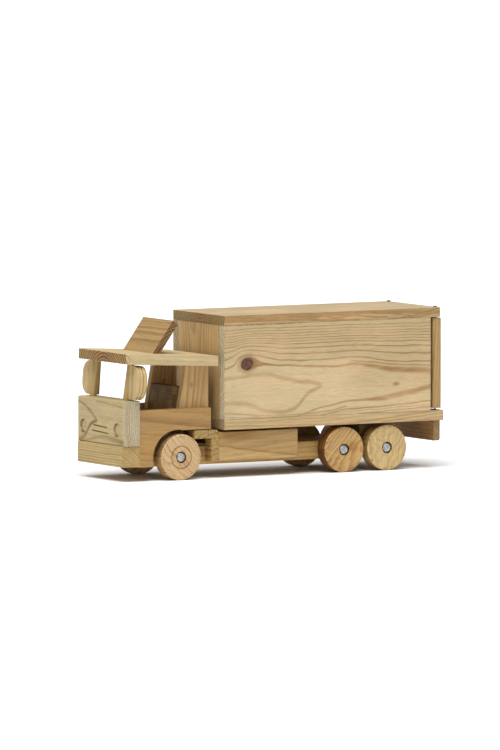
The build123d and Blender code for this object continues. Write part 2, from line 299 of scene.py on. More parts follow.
def side_colours(grain, colour, sides, dark, on_end, turned):
    """Colours the narrow faces, and draws dark bands round the tread of a turned wheel."""
    t = grain.tree
    narrow = t.step(grain.facing(grain.face), 0.75, 0.5)
    if turned:
        place = t.combine(t.mul(grain.v, 0.62), t.mul(grain.s, 0.02), grain.seed)
        bands = t.step(t.noise(place, 2.0), 0.46, 0.60, 0.0, turned)
        colour = t.mix(t.mul(narrow, bands), colour, scaled(dark, (0.5, 0.36, 0.26)))
    else:
        narrow = t.mul(narrow, t.sub(1.0, on_end))
    return t.multiply(colour, t.mix(narrow, WHITE, sides + (1,)))


def wood(name, centre, along, face, pith, spacing, pale, dark, seed, tilt=(0.0, 0.0), late=0.45,
         contrast=0.8, warp=3.0, wobble=0.5, swirl=0.0, ring_change=0.7, quiet=1.0, knots=(),
         figure=None, zone=None, tint=None, tint_amount=0.35, end=None, end_contrast=1.0,
         end_dark=0.8, speckle=0.5, cloud=1.0, streak=1.0, half=None, sides=None, turned=0.0):
    """Sawn softwood, with its grain worked out from where the board lay in the log.

    centre is in mm. pith = (u, v) is the log's heart from there, and tilt is how far it drifts
    in u and v per mm along the board. spacing is the width of a year ring, late the dark share
    of it, and ring_change how uneven they are. The rings stray by warp over the whole board, by
    wobble over 30 mm and by swirl over 20 mm. quiet below 1 fades them on the long faces.
    knots are (s, u, radius, stretch, darkness). figure(t, s, u, v) adds drawn grain lines, and
    zone(t, s, u, v) and sides multiply the colour: by place, and on the narrow faces. tint
    colours wide clouds. half is half of the board's size along s, u and v, for its worn edges.
    turned says how dark the bands are round the tread of a turned wheel.
    """
    t = Tree(name)
    grain = Grain(t, centre, along, face, seed)
    s, u, v = grain.s, grain.u, grain.v
    on_end = t.step(grain.facing(grain.along), END_FROM, END_TO)
    bent_u, knot_mask, knot_halo = round_knots(grain, knots)
    line = year_rings(grain, bent_u, pith, tilt, spacing, late, warp, wobble, swirl, ring_change)
    if quiet < 1.0:
        line = t.mul(line, t.math("MAXIMUM", quiet, on_end))
    if figure:
        line = t.highest(line, t.mul(figure(t, s, bent_u, v), t.sub(1.0, on_end)))
    amount = t.mul(line, t.add(contrast, t.mul(on_end, end_contrast - contrast)))

    # fibres, short dark pores, long streaks and wide clouds
    fibres = grain.noise(0.06, 1.7, 4.0, 0.68, deeper=seed)
    flecks = grain.noise(0.16, 2.9, 1.0, deeper=seed + 4)
    dashes = grain.noise(0.07, 0.95, 1.5, 0.6, deeper=seed + 11)
    streaks = grain.noise(0.014, 0.42, 3.0, 0.6, deeper=seed * 2.0)
    clouds = grain.noise(0.011, 0.035, 3.0, 0.6, further=seed)
    shade = t.product(t.step(fibres, 0.25, 0.75, 0.80, 1.07),
                      t.step(streaks, 0.28, 0.72, 1.0 - 0.10 * streak, 1.0 + 0.05 * streak),
                      t.step(flecks, 0.64, 0.78, 1.0, 0.76), t.step(dashes, 0.60, 0.74, 1.0, 0.80),
                      t.step(clouds, 0.25, 0.75, 1.0 - 0.06 * cloud, 1.0 + 0.05 * cloud))
    tint = tint or scaled(pale, (0.90, 0.86, 0.72))
    colour = t.mix(t.step(clouds, 0.42, 0.70, 0.0, tint_amount), t.mix(amount, pale, dark), tint)

    # end grain is darker and shows open pores
    end_late = scaled(dark, end_dark * 0.58)
    end_colour = t.mix(t.mul(line, end_contrast), end or scaled(pale, end_dark), end_late)
    colour = t.mix(on_end, colour, end_colour)
    grit = grain.noise(1.6, 1.6, 2.0, 0.7, deeper=seed)
    coarse = grain.noise(0.1, 0.62, 2.0, 0.75, deeper=seed + 3)
    pores = t.mul(t.step(grit, 0.35, 0.68, 1.0 - 0.42 * speckle, 1.0 + 0.16 * speckle),
                  t.step(coarse, 0.36, 0.62, 1.0 - 0.40 * speckle, 1.0 + 0.18 * speckle))
    shade = t.mul(shade, t.add(1.0, t.mul(on_end, t.sub(pores, 1.0))))

    heights = [t.mul(amount, 0.5), t.mul(fibres, 0.7), t.mul(t.mul(grit, on_end), 0.8),
               t.mul(flecks, -0.2)]
    if half:
        shade = t.mul(shade, t.sub(1.0, t.mul(worn_edges(grain, half), 0.14)))
    if turned:
        rim_marks_and_highlight, lathe_marks = turned_marks_and_highlight(grain)
        shade = t.mul(shade, rim_marks_and_highlight)
        heights.append(t.mul(lathe_marks, 0.10))
    colour = t.multiply(colour, t.combine(shade, shade, shade))
    if zone:
        colour = t.multiply(colour, zone(t, s, u, v))
    if sides:
        colour = side_colours(grain, colour, sides, dark, on_end, turned)
    if knots:
        heart = t.noise(t.combine(t.mul(s, 0.35), t.mul(u, 0.6), seed), 3.0)
        knot_colour = t.mix(t.step(heart, 0.3, 0.7), KNOT_HEART, KNOT_PALE)
        colour = t.mix(t.mul(knot_halo, 0.55), colour, scaled(dark, 0.72))
        colour = t.mix(knot_mask, colour, knot_colour)
    roughness = t.total(0.62, t.mul(t.sub(fibres, 0.5), 0.22), t.mul(line, -0.07),
                        t.mul(on_end, 0.12))
    return t.finish(colour, roughness, t.total(*heights), bump_strength=0.45,
                    bump_distance=0.00022, Specular_IOR_Level=0.32)


# ---------------------------------------------------------------- steel

def metal(name, centre, axis, bright, dull, seed, rough):
    """Plated steel with fine turning marks round axis, dull patches and small pits."""
    t = Tree(name)
    texture = t.node("ShaderNodeTexCoord")
    place = t.node("ShaderNodeMapping",
                   {"Vector": texture.outputs["Object"], "Location": Vector(centre) * MM,
                    "Scale": (MM, MM, MM)}, vector_type="TEXTURE")
    x, y, z = t.split(place.outputs[0])
    fine_x, fine_z = (2.5 if axis == letter else 0.8 for letter in "XZ")
    fine = t.noise(t.combine(t.mul(x, fine_x), t.mul(y, 0.8), t.add(t.mul(z, fine_z), seed)),
                   3.0, 0.7)
    patch = t.noise(t.combine(t.mul(x, 0.35), t.mul(y, 0.35), t.add(t.mul(z, 0.35), seed + 9)),
                    3.0)
    pits = t.noise(t.combine(t.mul(x, 3.5), t.mul(y, 3.5), t.mul(z, 3.5)), 1.0)
    colour = t.mix(t.step(patch, 0.38, 0.66), bright, dull)
    colour = t.mix(t.step(pits, 0.66, 0.76, 0.0, 0.6), colour, scaled(dull, 0.45))
    roughness = t.total(rough, t.mul(t.sub(patch, 0.5), 0.3), t.mul(t.sub(fine, 0.5), 0.2))
    height = t.add(t.mul(fine, 0.5), t.mul(pits, -0.5))
    return t.finish(colour, roughness, height, bump_strength=0.35, bump_distance=0.0001,
                    Metallic=0.85)


# ---------------------------------------------------------------- dressing the pieces

def dress(node, material):
    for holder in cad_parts[node].material_slots:
        holder.material = material


# What each board's colours are multiplied by, fitted to how each board looks under this light. So
# besides the wood's own colour the rows carry painted light and shade, such as the much lower seat
# board row, which is painted shade inside the cab. A pair shares one row.
LIGHT_AND_COLOUR_TONES = {
    "box_side": (0.74, 0.76, 0.79), "box_roof": (0.66, 0.66, 0.62),
    "floor_board": (0.76, 0.76, 0.77), "box_front_wall": (0.93, 0.98, 1.0),
    "cab_roof": (0.71, 0.71, 0.70), "wind_deflector": (0.66, 0.67, 0.61),
    "a_post": (0.72, 0.74, 0.74), "b_post": (0.95, 1.22, 1.5),
    "wing_mirror": (0.78, 0.78, 0.80), "front_panel": (0.72, 0.73, 0.74),
    "bumper": (0.76, 0.76, 0.74), "cab_side": (0.72, 0.82, 0.75),
    "seat_board": (0.42, 0.42, 0.21), "mudguard": (0.82, 0.80, 0.82),
    "tank": (0.70, 0.66, 0.60), "chassis": (0.9, 0.84, 0.7), "door": (0.66, 0.67, 0.64),
    "wheel_front": (0.84, 0.98, 1.16), "wheel_mid": (0.74, 0.88, 0.94),
    "wheel_rear": (0.82, 0.98, 1.16), "rear_crossboard": (0.82, 0.78, 0.72),
    "spacer_front": (0.5, 0.5, 0.5), "spacer_rear": (0.5, 0.5, 0.5)}


def board(node, along, face, worn=True, **looks):
    """Dresses one board in its own piece of wood. worn says that its edges are rubbed."""
    centre, size = middle_and_half(node)
    light_and_colour_tone = LIGHT_AND_COLOUR_TONES.get(node) or LIGHT_AND_COLOUR_TONES[node.rsplit("_", 1)[0]]
    for key in ("pale", "dark", "end"):
        if key in looks:
            looks[key] = scaled(looks[key], light_and_colour_tone)
    if worn:
        axes = (along, face.cross(along), face)
        looks["half"] = [abs(size.dot(Vector(map(abs, axis)))) for axis in axes]
    dress(node, wood("wood_" + node, centre, along, face, **looks))


# ---------------------------------------------------------------- drawn grain lines

def stroke(t, s, u, line, low, high, width, strength=1.0, soft=0.6):
    """A grain line along the board through points (s, u), with u between low and high.

    width is half of the line's width in mm, or a list of points (s, half width).
    """
    middle = t.curve(s, line, low, high)
    half = t.curve(s, width, 0.0, 10.0) if isinstance(width, list) else width
    near = t.div(t.absolute(t.sub(u, middle)), half)
    first, last = line[0][0], line[-1][0]
    inside = t.mul(t.step(s, first - 0.5, first + 1.5), t.step(s, last + 0.5, last - 1.5))
    return t.product(t.step(near, 1.0, 1.0 - soft), inside, strength)


def strokes(t, s, u, low, high, lines):
    """The darkest of several strokes, each given as (points, width, strength, soft)."""
    return t.highest(*(stroke(t, s, u, points, low, high, *look) for points, *look in lines))


def tongue(t, s, u, middle, half, low, high, width, strength):
    """The outline of a long closed tongue of grain about middle(s), half(s) to each side."""
    off = t.absolute(t.sub(u, t.curve(s, middle, low, high)))
    edge = t.absolute(t.sub(off, t.curve(s, half, 0.0, 40.0)))
    return t.mul(t.step(edge, width, width * 0.25), strength)


def truck_place(t, node, s, rise):
    """y and z on the truck in mm, on a board that runs along it. rise is its upward place."""
    centre, _ = middle_and_half(node)
    return t.add(s, centre.y), t.add(rise, centre.z)


# Fine lines over the knot of the box side, from the top down: (height, half width, darkness).
SIDE_FINE_LINES = [(187.2, 1.0, 0.85), (183.4, 0.9, 0.75), (179.8, 1.0, 0.85), (176.6, 0.9, 0.8),
                   (173.2, 1.0, 0.9), (170.0, 0.9, 0.8), (166.6, 1.15, 0.95), (161.4, 1.3, 0.95),
                   (154.6, 1.45, 0.9), (146.4, 1.6, 0.95)]
FINE_LOW, FINE_SPAN = 140.0, 52.5
KNOT_Y, KNOT_Z = -55.5, 143.0
SAG_FADE = 17.0


def side_fine_lines(t, y, z):
    """Lines that run round the knot, and straighten with height over it."""
    sag = t.curve(y, [(-95, 10), (-75, 4), (-52, -7.5), (-25, -4), (0, 0), (60, 1.0), (100, -0.5),
                      (140, 4.5), (180, 8), (216, 9)], -10, 12)
    above_knot = t.math("MINIMUM", t.sub(KNOT_Z, z), 0.0)
    level = t.add(z, t.mul(sag, t.math("EXPONENT", t.div(above_knot, SAG_FADE))))
    stops = [(0.0, 0.0)]
    for height, half, dark in reversed(SIDE_FINE_LINES):
        at, w = (height - FINE_LOW) / FINE_SPAN, half / FINE_SPAN
        stops += [(at - w * 1.1, 0.02), (at - w * 0.1, dark), (at + w * 0.7, 0.0)]
    return t.ramp(t.div(t.sub(level, FINE_LOW), FINE_SPAN), stops)


def side_figure(t, s, u, v):
    """Left box side: fine lines, two bands to the rear, a hook of grain, and a pin knot."""
    y, z = truck_place(t, "box_side_left", s, u)
    z = t.total(z, t.wander(t.combine(t.mul(y, 0.05), t.mul(z, 0.02), 3.0), 3.0, 2.6),
                t.wander(t.combine(t.mul(y, 0.018), t.mul(z, 0.012), 8.0), 1.0, 3.0))
    upper = strokes(t, y, z, 110, 150, [
        ([(-46, 143.5), (-35, 142.6), (-15, 140.4), (10, 139), (60, 136.8), (82, 136),
          (103, 138), (125, 134.5), (150, 130.5), (180, 127.5), (216, 124.5)],
         [(-46, 2.8), (-30, 2.0), (0, 2.2), (60, 2.3), (100, 2.8), (130, 4.2), (165, 5.6),
          (216, 6.4)], 0.84, 0.85),
        ([(95, 142.5), (125, 139.5), (150, 136.5), (180, 134), (216, 131.5)], 1.3, 0.7, 0.6),
        ([(-52, 144), (-44, 143.6), (-32, 142.4), (-18, 140.8)],
         [(-52, 7.0), (-44, 4.6), (-34, 2.4), (-18, 0.8)], 1.6, 0.5)])
    lower = stroke(t, y, z, [(15, 74), (30, 78), (50, 83.5), (75, 88), (100, 91), (140, 93),
                             (165, 96), (190, 100), (216, 105)], 70, 110,
                   [(15, 1.4), (80, 1.9), (120, 3.2), (150, 5.4), (185, 6.2), (216, 4.4)],
                   0.84, 0.85)
    lowest = strokes(t, y, z, 65, 95, [
        ([(50, 73), (70, 77.5), (100, 80.5), (140, 82.5), (180, 84), (216, 87)], 1.5, 0.78, 0.6),
        ([(105, 73.5), (140, 76), (180, 77), (216, 78.5)], 1.3, 0.7, 0.6),
        ([(-92, 82), (-60, 80), (-30, 77), (10, 76.5), (50, 78), (90, 84)], 1.5, 0.6, 0.6),
        ([(-92, 77), (-50, 75.6), (0, 74.4), (60, 75.4), (130, 78.8), (216, 81)],
         1.0, 0.5, 0.6)])
    hook = tongue(t, y, z, [(-92, 108.5), (-60, 111.5), (-25, 106), (0, 102), (15, 102.5),
                            (25, 106.5), (35, 111), (53, 112.5), (60, 112.5)],
                  [(-92, 15.5), (-60, 18.5), (-25, 23.5), (0, 20.5), (15, 17.5), (25, 11.5),
                   (35, 7.0), (47, 3.0), (53, 0.5), (60, 0)], 90, 120, 4.4, 0.62)
    hook = t.product(hook, t.step(y, 56.0, 50.0), t.step(y, -30.0, 34.0, 0.7, 1.0))
    from_pin = t.length(t.div(t.sub(y, 162.5), 1.8), t.sub(z, 110.0))
    ragged = t.mul(t.noise(t.combine(t.mul(y, 0.35), t.mul(z, 0.35), 1.0), 2.0), 3.0)
    pin = t.step(t.add(from_pin, ragged), 5.4, 2.6)
    out = t.highest(side_fine_lines(t, y, z), upper, lower, lowest, hook, pin)
    patchy = t.noise(t.combine(t.mul(y, 0.03), t.mul(z, 0.15), 5.0), 2.0)
    return t.mul(out, t.step(patchy, 0.2, 0.6, 0.72, 1.1))


LAMP_X, LAMP_Z = 43.0, 65.0


def front_figure(t, s, u, v):
    """Cab front: the grain closes in a tongue round the far lamp and arches over the bumper, and
    each lamp recess gets painted shade on its wall, heavier towards lower x.
    """
    centre, _ = middle_and_half("front_panel")
    x, height = t.add(s, centre.x), t.add(u, centre.z)
    z = t.add(height, t.wander(t.combine(t.mul(x, 0.07), t.mul(height, 0.05), 2.0), 2.0, 2.0))
    lines = strokes(t, x, z, 40, 105, [
        ([(-60, 97), (-45, 93), (-32, 88.5), (-20, 82), (-12, 76.5), (-7, 73.5)],
         [(-60, 2.0), (-38, 3.0), (-20, 5.2), (-7, 4.0)], 0.72, 1.0),
        ([(-56, 47), (-47, 49), (-40, 52.5), (-33, 59), (-27, 66), (-18, 71.5), (-7, 73.5)],
         [(-56, 4.6), (-42, 6.0), (-27, 4.6), (-7, 3.0)], 1.1, 0.9),
        ([(-60, 44), (-40, 47), (-25, 49.5), (-10, 52.5), (10, 54.5), (30, 53.4), (60, 50)],
         [(-60, 2.0), (-20, 3.2), (10, 5.0), (60, 6.4)], 0.85, 1.0)])
    top = stroke(t, x, z, [(-10, 98), (10, 98), (30, 96), (60, 94.5)], 80, 105, 2.2, 0.6, 0.9)
    upright = stroke(t, z, x, [(90, 33), (95, 32), (103, 32.5)], 20, 45, 1.6, 0.4, 0.95)
    # Painted shade: a dark ring on the wall of each lamp recess, heavier towards lower x.
    painted_lamp_shade = []
    for lamp in (-LAMP_X, LAMP_X):
        far = t.length(t.sub(x, lamp), t.sub(height, LAMP_Z))
        painted_lamp_shade.append(t.product(t.step(far, 6.4, 8.2), t.step(far, 9.4, 8.6),
                              t.step(x, lamp + 4.0, lamp - 4.0, 0.35, 1.35)))
    return t.highest(lines, top, upright, *painted_lamp_shade)


def left_edge_only(t, drawn, node, u):
    """Keeps lines to the left edge of a board that lies along the truck, where u is lowest."""
    _, size = middle_and_half(node)
    at_edge = t.step(u, 1.6 - size.x, 0.6 - size.x)
    return t.math("MULTIPLY", t.mul(drawn, at_edge), 3.0, clamp=True)


def roof_figure(t, s, u, v):
    """Long dark lines on the left edge of the box roof."""
    y, z = truck_place(t, "box_roof", s, v)
    z = t.add(z, t.wander(t.combine(t.mul(y, 0.05), t.mul(z, 0.05), 4.0), 2.0, 2.2))
    lines = strokes(t, y, z, 190, 206, [
        ([(-95, 203.6), (-20, 203.9), (60, 203.4), (110, 202.0), (150, 199.6), (185, 196.0)],
         1.1, 0.85, 0.8),
        ([(-95, 197.6), (-40, 197.4), (20, 196.4), (75, 194.2), (110, 193.0)],
         [(-95, 2.4), (0, 2.2), (75, 1.8), (110, 1.0)], 0.8, 0.9),
        ([(60, 198.6), (80, 196.8), (100, 199.4), (122, 196.6), (150, 195.2)], 1.2, 0.7, 0.8),
        ([(150, 192.6), (185, 195.2), (208, 200.0), (226, 204.5)], 1.3, 0.8, 0.8),
        ([(180, 192.4), (205, 195.4), (228, 200.6)], 1.1, 0.7, 0.8),
        ([(-95, 200.6), (0, 200.9), (60, 200.4), (120, 202.6), (180, 201.0)], 0.8, 0.5, 0.8)])
    return left_edge_only(t, lines, "box_roof", u)


def floor_figure(t, s, u, v):
    """Dark lines on the left edge of the floor board, which climb towards the rear."""
    y, z = truck_place(t, "floor_board", s, v)
    z = t.add(z, t.wander(t.combine(t.mul(y, 0.05), t.mul(z, 0.05), 9.0), 2.0, 1.8))
    lines = strokes(t, y, z, 58, 76, [
        ([(-100, 66.4), (-20, 64.2), (60, 63.0), (110, 62.0)], 1.2, 0.95, 0.8),
        ([(-100, 71.0), (-30, 70.2), (40, 70.6), (100, 69.6)], 0.8, 0.6, 0.8),
        ([(90, 62.4), (130, 65.2), (160, 68.0), (200, 71.4), (232, 74.4)], 1.3, 0.9, 0.8),
        ([(140, 62.0), (180, 65.8), (232, 70.4)], 1.1, 0.8, 0.8),
        ([(170, 61.0), (205, 63.4), (232, 66.0)], 1.0, 0.7, 0.8)])
    return left_edge_only(t, lines, "floor_board", u)


# ---------------------------------------------------------------- colour zones

def side_zone(t, s, u, v):
    """Browner heartwood above the knot and to the rear, and a painted shadow line along the front
    part of the top edge, in the gap under the roof.
    """
    lower_rear = t.mul(t.step(s, 0.0, 70.0), t.step(u, -40.0, -10.0))
    colour = t.mix(t.highest(t.step(u, 2.0, 24.0), lower_rear), WHITE, (0.90, 0.87, 0.84, 1))
    ragged = t.noise(t.combine(t.mul(s, 0.12), 1.0, 4.0), 2.0)
    painted_gap_shadow = t.product(t.step(u, 58.2, 58.9), t.step(s, -20.0, -60.0), t.step(ragged, 0.36, 0.56))
    return t.mix(painted_gap_shadow, colour, (0.40, 0.30, 0.22, 1))


def roof_zone(t, s, u, v):
    """The sawn front end is brown near the heart of the log, and olive to the sides."""
    _, size = middle_and_half("box_roof")
    at_end = t.step(s, 1.2 - size.y, 0.4 - size.y)
    colour = t.mix(t.gauss(u, -9.0, 26.0), (1.04, 1.08, 1.0, 1), (0.98, 0.84, 0.72, 1))
    return t.mix(at_end, WHITE, colour)


def cab_roof_zone(t, s, u, v):
    """The same on the front end of the cab roof."""
    _, size = middle_and_half("cab_roof")
    at_end = t.step(s, 3.0 - size.y, 1.6 - size.y)
    colour = t.mix(t.gauss(u, -3.0, 27.0), (1.12, 1.20, 1.12, 1), (0.94, 0.84, 0.72, 1))
    return t.mix(at_end, WHITE, colour)


def front_zone(t, s, u, v):
    """Painted light inside the grille slits between the lamps: their shaded walls are made
    brighter and warmer.
    """
    _, size = middle_and_half("front_panel")
    slits = t.mul(t.step(t.absolute(s), 30.0, 27.0), t.step(t.absolute(u), 20.0, 17.0))
    inside = t.product(slits, t.step(v, size.y - 0.3, size.y - 0.9), t.step(v, 0.0, 0.5))
    return t.mix(inside, WHITE, (1.22, 1.04, 0.72, 1))


def tank_zone(t, s, u, v):
    """Browner wood on the upper part, and paler sapwood under a line that falls to the rear."""
    y, z = truck_place(t, "tank_left", s, u)
    z = t.add(z, t.wander(t.combine(t.mul(y, 0.06), t.mul(z, 0.1), 5.5), 3.0, 5.0))
    border = t.curve(y, [(-80, 40), (-50, 34), (-20, 30), (10, 26), (22, 24)], 20, 45)
    above = t.sub(z, border)
    colour = t.mix(t.step(above, -0.8, 0.8), (1.12, 1.13, 1.12, 1), (0.97, 0.94, 0.88, 1))
    upper_front = t.mul(t.step(z, 46.0, 52.0), t.step(y, -10.0, -60.0))
    colour = t.mix(upper_front, colour, (0.82, 0.68, 0.50, 1))
    return t.mix(t.mul(t.gauss(above, 0.4, 1.3), 0.9), colour, (0.74, 0.60, 0.44, 1))


def seat_zone(t, s, u, v):
    """The seat back: dark blotches, and a much paler band near the left end."""
    blot = t.noise(t.combine(t.mul(s, 0.055), t.mul(u, 0.055), 3.3), 4.0, 0.65)
    colour = t.mix(t.step(blot, 0.36, 0.62), (0.62, 0.60, 0.56, 1), (1.36, 1.32, 1.24, 1))
    band = t.mul(t.gauss(s, 22.0, 7.0), t.step(blot, 0.30, 0.55))
    return t.mix(band, colour, (1.9, 1.8, 1.6, 1))


def front_wheel_zone(t, s, u, v):
    """A brown ring round the cap: painted shade of the dished hub, broken up by noise."""
    blot = t.noise(t.combine(t.mul(s, 0.12), t.mul(u, 0.12), 2.6), 3.0)
    ring = t.mul(t.gauss(t.length(s, u), 10.5, 3.4), t.step(blot, 0.38, 0.62))
    return t.mix(t.mul(ring, 0.75), WHITE, (0.80, 0.64, 0.50, 1))


# The near middle wheel's grain leans by this angle, and its dark patch lies beside the cap.
MID_GRAIN = 52
PATCH_REAR, PATCH_UP = 12.0, 3.0


def mid_wheel_zone(t, s, u, v):
    """A darker knotty patch beside the cap, and mottled wood at the other side."""
    lean = math.radians(MID_GRAIN)
    patch_s = PATCH_REAR * math.sin(lean) + PATCH_UP * math.cos(lean)
    patch_u = PATCH_UP * math.sin(lean) - PATCH_REAR * math.cos(lean)
    far = t.length(t.div(t.sub(s, patch_s), 1.2), t.sub(u, patch_u))
    blot = t.noise(t.combine(t.mul(s, 0.22), t.mul(u, 0.22), 6.2), 3.0, 0.7)
    patch = t.product(t.step(far, 11.0, 2.0), t.step(blot, 0.30, 0.60, 0.45, 1.0), 0.95)
    colour = t.mix(patch, WHITE, (0.70, 0.46, 0.28, 1))
    mottled = t.mul(t.step(s, 0.0, -18.0), t.step(blot, 0.50, 0.62, 0.0, 0.8))
    return t.mix(mottled, colour, (0.70, 0.58, 0.44, 1))


# ---------------------------------------------------------------- boards of the box

CREAM, CREAM_LATE = srgb(226, 200, 152), srgb(178, 136, 78)
OLIVE_TINT = srgb(186, 164, 112)
PINK_TINT = srgb(222, 184, 142)
SIDE_CENTRE, _ = middle_and_half("box_side_left")

# The end colour of this side, paler than its face, is painted light on its end faces.
board("box_side_left", Y, X, pith=(4, -34), spacing=3.4, pale=CREAM, dark=CREAM_LATE, seed=1.3,
      contrast=1.0, late=0.4, quiet=0.10, figure=side_figure, zone=side_zone,
      knots=[(KNOT_Y - SIDE_CENTRE.y, KNOT_Z - SIDE_CENTRE.z, 8.8, 1.12, 1.0)],
      tint=PINK_TINT, tint_amount=0.28, end=srgb(255, 240, 196), cloud=0.6, streak=0.55)
board("box_side_right", Y, X, pith=(18, -62), spacing=4.2, tilt=(0.02, 0.05), pale=CREAM,
      dark=CREAM_LATE, seed=5.1, contrast=0.7, late=0.38, warp=7,
      knots=[(92, -18, 6.5, 1.2, 0.95), (-70, 34, 3.2, 1.5, 0.8)],
      tint=PINK_TINT, tint_amount=0.5, end_dark=0.86)
board("box_roof", Y, Z, pith=(-5, 22), spacing=3.8, pale=srgb(224, 200, 162),
      dark=srgb(176, 140, 90), seed=2.2, late=0.5, contrast=0.7, warp=2, cloud=0.8,
      figure=roof_figure, zone=roof_zone, sides=(0.90, 0.80, 0.64),
      tint=PINK_TINT, tint_amount=0.3, end=srgb(206, 172, 120), end_contrast=1.5, end_dark=0.82)
board("floor_board", Y, Z, pith=(8, 62), spacing=2.5, tilt=(0.0, 0.006),
      pale=srgb(220, 192, 142), dark=CREAM_LATE, seed=7.7, late=0.42, contrast=0.62, warp=5,
      figure=floor_figure, end_dark=0.84)
board("box_front_wall", Z, -Y, pith=(8, -70), spacing=2.4, tilt=(0.03, 0.02),
      pale=srgb(206, 168, 112), dark=srgb(160, 116, 64), seed=3.9, warp=4)
board("rear_crossboard", X, -Y, pith=(34, -36), spacing=3.6, pale=srgb(186, 146, 92),
      dark=srgb(112, 76, 40), seed=8.8, warp=5, end=srgb(182, 156, 112))
for side, pith_u, knot_u, seed in (("left", 20, -9, 4.4), ("right", -26, 12, 9.6)):
    board("door_" + side, Z, Y, pith=(pith_u, -48), spacing=4.0, tilt=(0.03, 0.05),
          pale=srgb(214, 176, 118), dark=srgb(160, 112, 62), seed=seed, contrast=0.75, warp=6,
          knots=[(-22, knot_u, 4.4, 1.3, 0.9)])

# ---------------------------------------------------------------- boards of the cab

# Angles from vertical of the posts, mirrors and leaning boards, and the fall of the roof.
A_POST_LEAN, MIRROR_LEAN, B_POST_LEAN = 8.5, 4, 6
SEAT_LEAN, DEFLECTOR_LEAN, ROOF_FALL = 10.1, 35.8, 2.9

board("cab_roof", -leaning_face(ROOF_FALL), Z, pith=(-3, -27), spacing=4.0,
      pale=srgb(230, 206, 158), dark=srgb(176, 124, 72), seed=6.4, late=0.6, contrast=0.35,
      warp=1.6, wobble=0.9, ring_change=0.5, zone=cab_roof_zone, end=srgb(198, 158, 102),
      end_contrast=1.7, worn=False)
board("front_panel", X, -Y, pith=(4, -130), spacing=2.3, pale=srgb(208, 186, 138),
      dark=srgb(138, 102, 46), seed=2.9, late=0.6, contrast=0.95, warp=0.8, quiet=0.22,
      figure=front_figure, zone=front_zone, tint=OLIVE_TINT, tint_amount=0.3,
      end=srgb(228, 210, 172), end_contrast=0.8, end_dark=1.2, speckle=0.3)
board("bumper", X, -Y, pith=(-52, 46), spacing=2.9, pale=srgb(212, 184, 126),
      dark=srgb(150, 114, 62), seed=5.8, late=0.55, contrast=0.85, warp=2.0, wobble=0.9,
      tint=OLIVE_TINT, tint_amount=0.3, end=srgb(224, 190, 128), end_contrast=0.8,
      end_dark=1.12)
for side, outward, seed in (("left", X, 1.9), ("right", -X, 6.1)):
    near = side == "left"
    board("cab_side_" + side, Y, outward, pith=(38 if near else -30, -26), spacing=6.2,
          tilt=(-0.05, 0.02), pale=srgb(200, 150, 98), dark=srgb(146, 96, 52), seed=seed,
          late=0.55, contrast=0.6, warp=6, worn=False)
    board("a_post_" + side, leaning(A_POST_LEAN), leaning_face(A_POST_LEAN), pith=(16, -18),
          spacing=3.2, pale=srgb(210, 176, 112), dark=srgb(164, 120, 62), seed=seed + 1,
          contrast=0.65, worn=False)
    board("wing_mirror_" + side, leaning(MIRROR_LEAN), leaning_face(MIRROR_LEAN),
          pith=(-9, -14), spacing=5.0, pale=srgb(220, 192, 134), dark=srgb(146, 98, 50),
          seed=seed + 2, contrast=0.95 if near else 0.3, worn=False)
    board("b_post_" + side, leaning(B_POST_LEAN), outward, pith=(-26, -30), spacing=4.4,
          pale=srgb(204, 150, 92), dark=srgb(156, 98, 50), seed=seed + 3, contrast=0.7, warp=4,
          knots=[(14, 3, 2.3, 1.3, 0.28)], worn=False)
    board("mudguard_" + side, X, Z, pith=(14, -20), spacing=5.2, pale=srgb(204, 170, 104),
          dark=srgb(128, 90, 44), seed=seed + 4, contrast=1.0, end=srgb(210, 176, 108),
          end_contrast=0.4, end_dark=0.90, speckle=1.1, worn=False)
    board("tank_" + side, Y, outward, pith=(44, -24), spacing=7.0, tilt=(0.10, 0.0),
          pale=srgb(212, 182, 128), dark=srgb(164, 120, 72), seed=seed + 5, late=0.6,
          contrast=0.4, warp=6, cloud=1.6, zone=tank_zone)
board("seat_board", X, leaning_face(SEAT_LEAN), pith=(9, -20), spacing=3.6,
      pale=srgb(190, 150, 100), dark=srgb(132, 92, 50), seed=4.8, contrast=0.6, warp=4,
      zone=seat_zone, worn=False)
board("wind_deflector", X, leaning_face(DEFLECTOR_LEAN), pith=(-25, -54), spacing=3.3,
      tilt=(0.03, 0.0), pale=srgb(200, 164, 112), dark=srgb(140, 98, 54), seed=7.1, late=0.5,
      contrast=0.75, end=srgb(184, 140, 96), end_contrast=1.3, end_dark=0.68, worn=False)

# ---------------------------------------------------------------- underneath

board("chassis", Y, Z, pith=(10, -36), spacing=4.4, pale=srgb(204, 172, 118),
      dark=srgb(150, 112, 66), seed=3.3, contrast=0.6, warp=5)
for node, pith, seed in (("spacer_front", (18, -22), 6.6), ("spacer_rear", (-14, -30), 9.1)):
    board(node, Y, Z, pith=pith, spacing=3.6, pale=srgb(196, 158, 104),
          dark=srgb(140, 100, 56), seed=seed, contrast=0.7)

# ---------------------------------------------------------------- wheels, turned from flat boards

# Grain direction from vertical in degrees, heart of the log, its drift, ring spacing and seed.
WHEELS = {
    "wheel_front_left": (140, (-34, -30), (0.04, 0.05), 3.2, 1.1),
    "wheel_mid_left": (MID_GRAIN, (-24, -34), (0.06, 0.10), 3.0, 2.3),
    "wheel_rear_left": (6, (4, -38), (-0.03, 0.10), 2.6, 3.7),
    "wheel_front_right": (60, (40, -34), (0.05, 0.08), 3.4, 4.9),
    "wheel_mid_right": (-30, (18, -34), (0.05, 0.12), 3.4, 5.3),
    "wheel_rear_right": (82, (-32, -30), (0.03, 0.10), 3.2, 6.9)}
